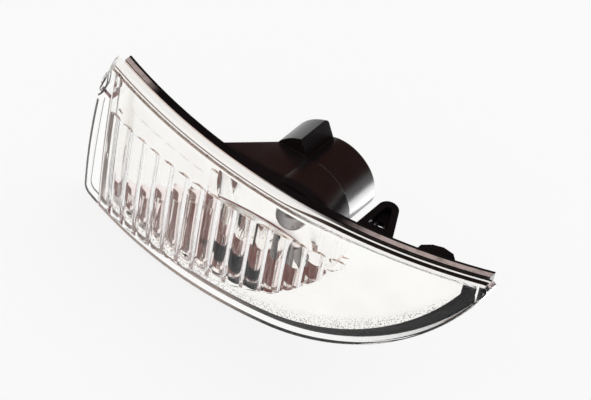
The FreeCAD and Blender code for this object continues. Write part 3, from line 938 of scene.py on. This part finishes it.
@dataclass
class TrayRibs:
    """Fine upright ribs on the floor of the reflector's tray, left of and under the bulb bowl."""

    count: int = 50
    first_turn: float = -0.1665
    turn: float = 0.0055
    floor_radius: float = 189.9 * MM
    rib_radius: float = 0.3 * MM
    rib_sides: int = 14
    top: float = 8.4 * MM
    bowl_radius: float = 28.5 * MM
    margin: float = 1.5 * MM
    low_edge: tuple[Pair, ...] = ((-64.1, -45.6), (-30.0, -42.0), (0.0, -32.0), (15.0, -15.0))

    def build(self) -> bpy.types.Object:
        """Make the ribs as one piece of the reflector.

        Returns:
            The finished piece.
        """
        piece = bpy.data.objects.new("reflector_ribs", bpy.data.meshes.new("reflector_ribs"))
        bpy.context.collection.objects.link(piece)
        modifier = piece.modifiers.new("ribs", "NODES")
        modifier.node_group = self.tree()
        settings = {"Count": self.count, "First Turn": self.first_turn, "Turn": self.turn,
                    "Floor Radius": self.floor_radius, "Rib Radius": self.rib_radius, "Top": self.top,
                    "Material": BRIGHT_COATING.get()}
        for item in modifier.node_group.interface.items_tree:
            if item.name in settings:
                modifier[item.identifier] = settings[item.name]
        shape = piece.evaluated_get(bpy.context.evaluated_depsgraph_get())
        mesh = bpy.data.meshes.new_from_object(shape)
        piece.modifiers.clear()
        piece.data = mesh
        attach(piece, Body.ROOT.value)
        LOG.info("ribs: %d faces", len(mesh.polygons))
        return piece

    def tree(self) -> bpy.types.NodeTree:
        """Node tree that sets one upright rod per rib on the curved floor.

        Returns:
            The tree, with its sizes as named inputs.
        """
        tree = bpy.data.node_groups.new("tray_ribs", "GeometryNodeTree")
        sizes = ("First Turn", "Turn", "Floor Radius", "Rib Radius", "Top")
        kinds = {"Count": "NodeSocketInt", **dict.fromkeys(sizes, "NodeSocketFloat"),
                 "Material": "NodeSocketMaterial"}
        for name, kind in kinds.items():
            tree.interface.new_socket(name, in_out="INPUT", socket_type=kind)
        tree.interface.new_socket("Geometry", in_out="OUTPUT", socket_type="NodeSocketGeometry")
        graph = NodeGraph(tree)
        given = graph.add("NodeGroupInput").outputs
        steps = graph.product(graph.add("GeometryNodeInputIndex").outputs[0], given["Turn"])
        angle = graph.total(steps, given["First Turn"])
        x = graph.total(graph.product(graph.math("SINE", angle), given["Floor Radius"]), PLAN_X)
        ahead = graph.product(graph.math("COSINE", angle), given["Floor Radius"])
        y = graph.math("SUBTRACT", PLAN_Y, ahead)
        low = graph.total(self.low_end(graph, x), self.margin)
        high = self.high_end(graph, x, given["Top"])
        points = graph.add("GeometryNodeMeshLine")
        graph.join(given["Count"], points.inputs["Count"])
        spread = graph.add("GeometryNodeSetPosition")
        graph.join(points.outputs[0], spread.inputs["Geometry"])
        middle = graph.product(graph.total(low, high), 0.5)
        graph.join(graph.vector(x, y, middle), spread.inputs["Position"])
        rod = graph.add("GeometryNodeMeshCylinder")
        rod.inputs["Vertices"].default_value = self.rib_sides
        rod.inputs["Depth"].default_value = 1.0
        graph.join(given["Rib Radius"], rod.inputs["Radius"])
        rods = graph.add("GeometryNodeInstanceOnPoints")
        graph.join(spread.outputs[0], rods.inputs["Points"])
        graph.join(rod.outputs[0], rods.inputs["Instance"])
        graph.join(graph.vector(1.0, 1.0, graph.math("SUBTRACT", high, low)), rods.inputs["Scale"])
        real = graph.add("GeometryNodeRealizeInstances")
        graph.join(rods.outputs[0], real.inputs[0])
        dressed = graph.add("GeometryNodeSetMaterial")
        graph.join(real.outputs[0], dressed.inputs["Geometry"])
        graph.join(given["Material"], dressed.inputs["Material"])
        graph.join(dressed.outputs[0], graph.add("NodeGroupOutput").inputs[0])
        return tree

    def low_end(self, graph: NodeGraph, x: Socket) -> Socket:
        """Height of the tray's lower edge, which bends up to the right.

        Args:
            graph: Tree to add the nodes to.
            x: Place along the lamp.

        Returns:
            Socket of the height in metres.
        """
        lines = []
        for (x0, z0), (x1, z1) in zip(self.low_edge, self.low_edge[1:]):
            slope = (z1 - z0) / (x1 - x0)
            lines.append(graph.total(graph.product(x, slope), (z0 - slope * x0) * MM))
        return graph.largest(*lines)

    def high_end(self, graph: NodeGraph, x: Socket, top: Socket) -> Socket:
        """Height of a rib's upper end: a slanting line on the left, and the bowl's rim under the bowl.

        Args:
            graph: Tree to add the nodes to.
            x: Place along the lamp.
            top: Height of the slanting line at the bulb axis.

        Returns:
            Socket of the height in metres.
        """
        room = graph.math("SUBTRACT", self.bowl_radius ** 2, graph.product(x, x))
        rim = graph.math("SQRT", graph.largest(room, 0.0))
        slant = graph.total(graph.product(x, BRIGHT_COATING.tray_slope), top)
        aside = graph.math("LESS_THAN", x, -self.bowl_radius)
        return graph.math("SUBTRACT", graph.product(aside, slant), rim)


@dataclass
class LampFront:
    """Lens with its seam, and the bright reflector behind it."""

    lens: str = "lens"
    seam: str = "lens_seal"
    seam_growth: float = 0.06 * MM
    reflector: str = "reflector"

    def build(self) -> None:
        """Dress the pieces in front of the housing."""
        dress_node(self.lens, CLEAR_LENS)
        bedded_copy(self.seam, SEAM_SEALANT, self.seam_growth)
        dress_node(self.reflector, BRIGHT_COATING)
        TrayRibs().build()


@dataclass
class BackHousing:
    """Black moulding with the flange, dome, neck, key, lug and tab."""

    node: str = "housing"

    def build(self) -> None:
        """Dress the housing."""
        dress_node(self.node, BLACK_HOUSING)


@dataclass
class BulbUnit:
    """Bulb with its holder, contacts and sealing ring."""

    bulb: str = "bulb"
    leads: tuple[str, str] = ("bulb_lead_upper", "bulb_lead_lower")
    holder: str = "bulb_holder"
    contacts: tuple[str, str] = ("contact_upper", "contact_lower")
    ring: str = "holder_seal"

    def build(self) -> None:
        """Dress the pieces in the neck."""
        dress_node(self.bulb, BULB_SILVER)
        for lead in self.leads:
            dress_node(lead, LEAD_WIRE)
        dress_node(self.holder, HOLDER_BODY)
        for contact in self.contacts:
            dress_node(contact, CONTACT_BRASS)
        dress_node(self.ring, RING_RUBBER)


@dataclass(frozen=True)
class AreaLamp:
    """One square lamp of the studio."""

    name: str
    place: Place
    size: float
    power: float

    def hang(self) -> bpy.types.Object:
        """Make the lamp.

        Returns:
            The lamp in its place, facing straight down.
        """
        data = bpy.data.lights.new(self.name, "AREA")
        data.size = self.size
        data.energy = self.power
        lamp = bpy.data.objects.new(self.name, data)
        lamp.location = self.place
        bpy.context.collection.objects.link(lamp)
        return lamp


@dataclass
class Studio:
    """Pale floor, soft light and the camera of the photograph."""

    azimuth: float = 32.7
    elevation: float = 50.0
    roll: float = 11.0
    distance: float = 1.0
    image_width: int = 591
    image_height: int = 400
    pixels_per_metre: float = 3300.0
    origin_pixel: Pair = (317.0, 193.0)
    sensor: float = 36.0
    floor_gap: float = 0.5 * MM
    floor_size: float = 6.0
    floor_colour: Colour = (0.88, 0.875, 0.87)
    floor_roughness: float = 0.95
    floor_white: float = 0.98
    floor_glow: float = 0.86
    soft_lamps: tuple[AreaLamp, AreaLamp] = (AreaLamp("overhead_soft_lamp", (0.15, 0.25, 0.95), 0.9, 4.0),
                                             AreaLamp("front_soft_lamp", (-0.55, -0.75, 0.6), 0.8, 1.6))
    rim_lamp: AreaLamp = AreaLamp("low_rim_lamp", (0.11, 0.12, CAD_BOX[0][2] + 1 * MM), 0.16, 0.55)
    ceiling: Colour = (0.125, 0.034, 0.026)
    ceiling_rise: Pair = (0.05, 0.4)
    room_colour: Colour = (1.0, 0.995, 0.99)
    room_light: float = 0.55
    bounces: int = 28
    mirror_bounces: int = 24

    def build(self) -> None:
        """Make the camera, the floor, the light and the world."""
        self.place_camera()
        self.lay_floor()
        self.hang_lamps()
        self.paint_world()
        bpy.context.scene.view_settings.view_transform = "Standard"
        light = bpy.context.scene.cycles
        light.max_bounces = self.bounces
        light.glossy_bounces = self.mirror_bounces
        light.transmission_bounces = self.mirror_bounces

    def place_camera(self) -> None:
        """Put the camera at the photograph's angle, with the bulb axis at its pixel."""
        turn = math.radians(self.azimuth)
        lift = math.radians(self.elevation)
        lean = math.radians(self.roll)
        back = Vector((math.sin(turn) * math.cos(lift), -math.cos(turn) * math.cos(lift), math.sin(lift)))
        level = Vector((math.cos(turn), math.sin(turn), 0.0))
        rise = back.cross(level)
        right = level * math.cos(lean) + rise * math.sin(lean)
        up = rise * math.cos(lean) - level * math.sin(lean)
        aside = (self.origin_pixel[0] - self.image_width / 2) / self.pixels_per_metre
        above = (self.image_height / 2 - self.origin_pixel[1]) / self.pixels_per_metre
        place = back * self.distance - right * aside - up * above
        data = bpy.data.cameras.new("photo_camera")
        data.sensor_width = self.sensor
        data.sensor_fit = "HORIZONTAL"
        data.lens = self.pixels_per_metre * self.distance * self.sensor / self.image_width
        camera = bpy.data.objects.new("photo_camera", data)
        turned = Matrix((right, up, back)).transposed()
        camera.matrix_world = Matrix.Translation(place) @ turned.to_4x4()
        bpy.context.collection.objects.link(camera)
        bpy.context.scene.camera = camera

    def ray_shares(self, graph: NodeGraph) -> tuple[Socket, Socket]:
        """Tell camera rays, and rays that metal and glass send on, from other rays.

        Args:
            graph: Tree to add the nodes to.

        Returns:
            Socket that is 1 for camera rays, and socket that is 1 for glossy and transmission rays.
        """
        path = graph.add("ShaderNodeLightPath").outputs
        mirror = graph.largest(path[Ray.GLOSSY.value], path[Ray.TRANSMISSION.value])
        return path[Ray.CAMERA.value], mirror

    def lay_floor(self) -> None:
        """Lay a pale floor just under the lamp, white to the camera but for the lamp's soft shadow."""
        low = CAD_BOX[0][2] - self.floor_gap
        half = self.floor_size / 2
        mesh = bpy.data.meshes.new("floor")
        corners = [(-half, -half, low), (half, -half, low), (half, half, low), (-half, half, low)]
        mesh.from_pydata(corners, [], [(0, 1, 2, 3)])
        floor = bpy.data.objects.new("floor", mesh)
        bpy.context.collection.objects.link(floor)
        material = bpy.data.materials.new("pale_floor")
        material.use_nodes = True
        graph = NodeGraph(material.node_tree)
        shader = graph.find("BSDF_PRINCIPLED")
        shader.inputs["Base Color"].default_value = (*self.floor_colour, 1.0)
        shader.inputs["Roughness"].default_value = self.floor_roughness
        shader.inputs["Specular IOR Level"].default_value = 0.0
        glow = graph.add("ShaderNodeEmission")
        glow.inputs["Color"].default_value = (self.floor_white, self.floor_white, self.floor_white, 1.0)
        camera, mirror = self.ray_shares(graph)
        blend = graph.add("ShaderNodeMixShader")
        graph.join(graph.largest(graph.product(camera, self.floor_glow), mirror), blend.inputs[0])
        graph.join(shader.outputs[0], blend.inputs[1])
        graph.join(glow.outputs[0], blend.inputs[2])
        graph.join(blend.outputs[0], graph.find("OUTPUT_MATERIAL").inputs["Surface"])
        mesh.materials.append(material)

    def hang_lamps(self) -> None:
        """Hang two large soft lamps above, and lay one behind the neck to edge the black plastic."""
        for soft in self.soft_lamps:
            lamp = soft.hang()
            lamp.rotation_euler = Vector(soft.place).to_track_quat("Z", "Y").to_euler()
            lamp.visible_glossy = False
        low = self.rim_lamp.hang()
        low.rotation_euler = (math.pi, 0.0, 0.0)
        low.visible_camera = False
        low.visible_transmission = False

    def paint_world(self) -> None:
        """White surroundings for the camera, a dim ceiling for reflections, soft light for the rest."""
        world = bpy.data.worlds.new("studio_world")
        bpy.context.scene.world = world
        world.use_nodes = True
        world.node_tree.nodes.clear()
        graph = NodeGraph(world.node_tree)
        camera, mirror = self.ray_shares(graph)
        height = graph.split(graph.add("ShaderNodeTexCoord").outputs["Generated"])["Z"]
        dim = graph.product(graph.ramp(height, *self.ceiling_rise), mirror)
        shown = graph.add("ShaderNodeBackground")
        graph.join(graph.mix(dim, (1.0, 1.0, 1.0), self.ceiling), shown.inputs["Color"])
        soft = graph.add("ShaderNodeBackground")
        soft.inputs["Color"].default_value = (*self.room_colour, 1.0)
        soft.inputs["Strength"].default_value = self.room_light
        blend = graph.add("ShaderNodeMixShader")
        graph.join(graph.largest(camera, mirror), blend.inputs[0])
        graph.join(soft.outputs[0], blend.inputs[1])
        graph.join(shown.outputs[0], blend.inputs[2])
        graph.join(blend.outputs[0], graph.add("ShaderNodeOutputWorld").inputs["Surface"])


def main() -> None:
    """Build the lamp's sub-assemblies and the studio in order."""
    logging.basicConfig(level=logging.INFO, format="%(name)s: %(message)s")
    for part in (LampFront(), BackHousing(), BulbUnit(), Studio()):
        part.build()
        LOG.info("built %s", type(part).__name__)


if __name__ == "__main__":
    main()
